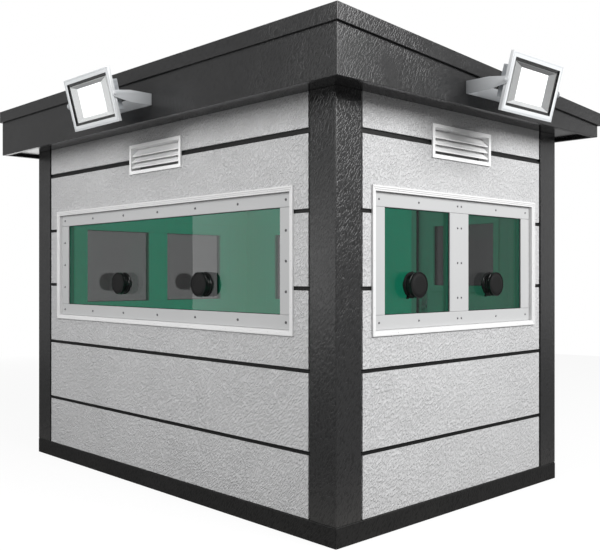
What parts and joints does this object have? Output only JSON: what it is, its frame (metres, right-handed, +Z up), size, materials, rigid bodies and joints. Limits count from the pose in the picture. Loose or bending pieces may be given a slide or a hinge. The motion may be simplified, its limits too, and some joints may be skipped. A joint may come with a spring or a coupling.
{
  "type": "security guard booth",
  "caption": "Rectangular guard booth with thick green glazing, round ports, louvred vents, a deep-edged sloping roof, a hinged back door and tilting floodlights.",
  "frame": {"origin": "centre of the booth's plan, on the ground under the base frame", "axes": "+X to the right along the long front wall seen from outside, +Y from the front wall to the back wall with the door, +Z up"},
  "size_m": [3.6699, 2.6699, 2.471],
  "materials": {
    "wall_boards": "light grey paint over a coarse embossed relief",
    "dark_posts": "dark grey paint over a coarse embossed relief",
    "dark_roof": "dark grey satin paint with a fine embossed relief",
    "soffit_lining": "pale grey satin",
    "base_steel": "near-black satin paint",
    "floor_covering": "grey sheet floor, matt",
    "green_glass": "thick clear glass with a green cast",
    "white_frame": "white satin paint",
    "clamp_paint": "pale grey satin paint",
    "port_black": "black, semi-gloss",
    "vent_white": "white satin paint",
    "lamp_bracket": "blue-grey satin paint",
    "lamp_white": "white semi-gloss paint",
    "lamp_lens": "clear flat glass",
    "lamp_light": "diffusing white panel",
    "lamp_body": "blue-grey satin paint on cast aluminium",
    "handle_steel": "brushed",
    "door_paint": "light grey paint over a fine embossed relief",
    "wall_lining": "pale grey satin"
  },
  "bodies": {
    "booth": {"back_boards": "wall_boards", "back_clamp_bars": "clamp_paint", "back_wall_left": "wall_lining", "back_wall_over_door": "wall_lining", "back_wall_right": "wall_lining", "back_window_frame": "white_frame", "back_window_glass": "green_glass", "base_frame": "base_steel", "corner_post_back_left": "dark_posts", "corner_post_back_right": "dark_posts", "corner_post_front_left": "dark_posts", "corner_post_front_right": "dark_posts", "door_frame": "dark_posts", "fascia_boards": "dark_roof", "floor_deck": "floor_covering", "front_boards": "wall_boards", "front_clamp_bars": "clamp_paint", "front_lamp_yoke": "lamp_bracket", "front_wall": "wall_lining", "front_window_frame": "white_frame", "front_window_glass": "green_glass", "left_boards": "wall_boards", "left_clamp_bars": "clamp_paint", "left_wall": "wall_lining", "left_window_frame": "white_frame", "left_window_glass": "green_glass", "right_boards": "wall_boards", "right_clamp_bars": "clamp_paint", "right_lamp_yoke": "lamp_bracket", "right_wall": "wall_lining", "right_window_frame": "white_frame", "right_window_glass": "green_glass", "roof_cap": "dark_roof", "round_ports": "port_black", "soffit": "soffit_lining", "wall_vents": "vent_white"},
    "door": {"door_handle": "handle_steel", "door_leaf": "door_paint", "door_window_frame": "white_frame", "door_window_glass": "green_glass"},
    "front_lamp_head": {"front_lamp_bezel": "lamp_white", "front_lamp_housing": "lamp_body", "front_lamp_led": "lamp_light", "front_lamp_lens": "lamp_lens"},
    "right_lamp_head": {"right_lamp_bezel": "lamp_white", "right_lamp_housing": "lamp_body", "right_lamp_led": "lamp_light", "right_lamp_lens": "lamp_lens"}
  },
  "joints": [
    {"name": "door_hinge", "type": "hinge", "parent": "booth", "child": "door", "pos_m": [1.208, 1.01, 1.089], "axis": [0, 0, -1], "range_deg": [0, 100]},
    {"name": "front_lamp_tilt", "type": "hinge", "parent": "booth", "child": "front_lamp_head", "pos_m": [0, -1.42, 2.267], "axis": [1, 0, 0], "range_deg": [-30, 60]},
    {"name": "right_lamp_tilt", "type": "hinge", "parent": "booth", "child": "right_lamp_head", "pos_m": [1.92, 0.018, 2.249], "axis": [0, 1, 0], "range_deg": [-30, 60]}
  ]
}
